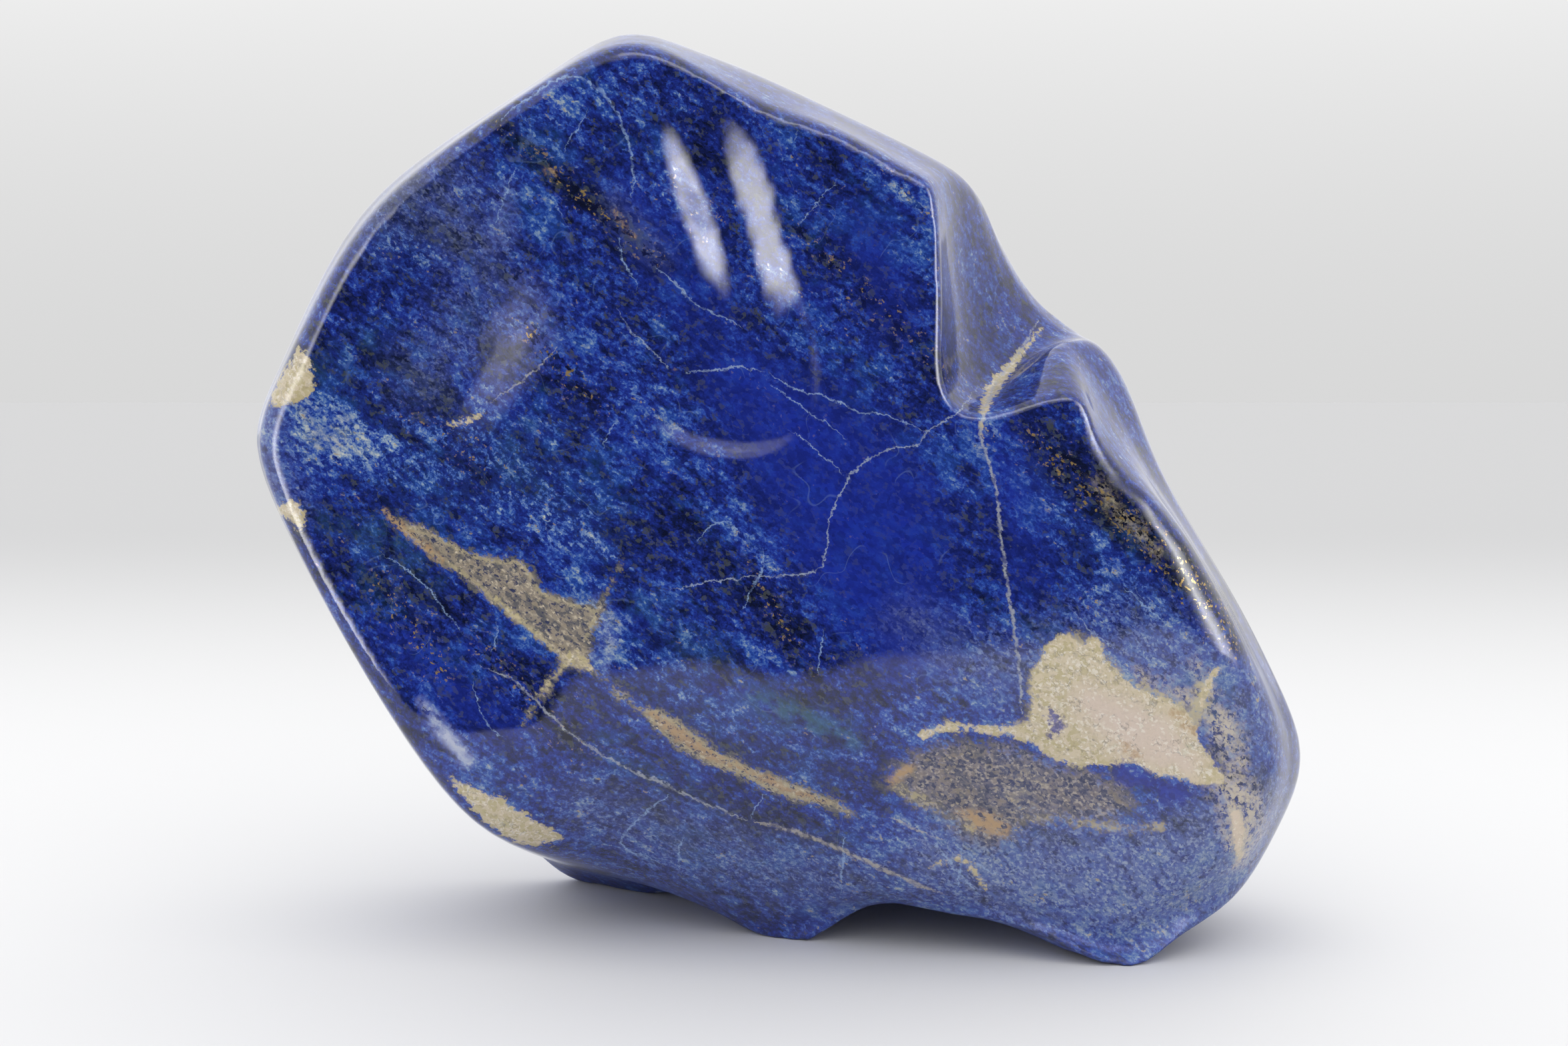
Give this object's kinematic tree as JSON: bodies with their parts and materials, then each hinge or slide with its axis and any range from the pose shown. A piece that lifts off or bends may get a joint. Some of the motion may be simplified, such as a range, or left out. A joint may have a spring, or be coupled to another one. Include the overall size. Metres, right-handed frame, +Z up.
{
  "type": "polished lapis lazuli freeform",
  "caption": "Polished freeform of blue lapis lazuli with cream calcite patches, pale veins and specks of pyrite, standing on small flats.",
  "frame": {"origin": "on the table under the middle of the stone's box; z = 0 is the plane of its resting flats", "axes": "+X along the stone's longest way, to the right as the front face is seen; +Y through its thickness, from the front face to the back; +Z up"},
  "size_m": [0.2986, 0.122, 0.2562],
  "materials": {
    "stone": "polished"
  },
  "bodies": {
    "root": {"lapis_lazuli": "stone"}
  },
  "joints": []
}
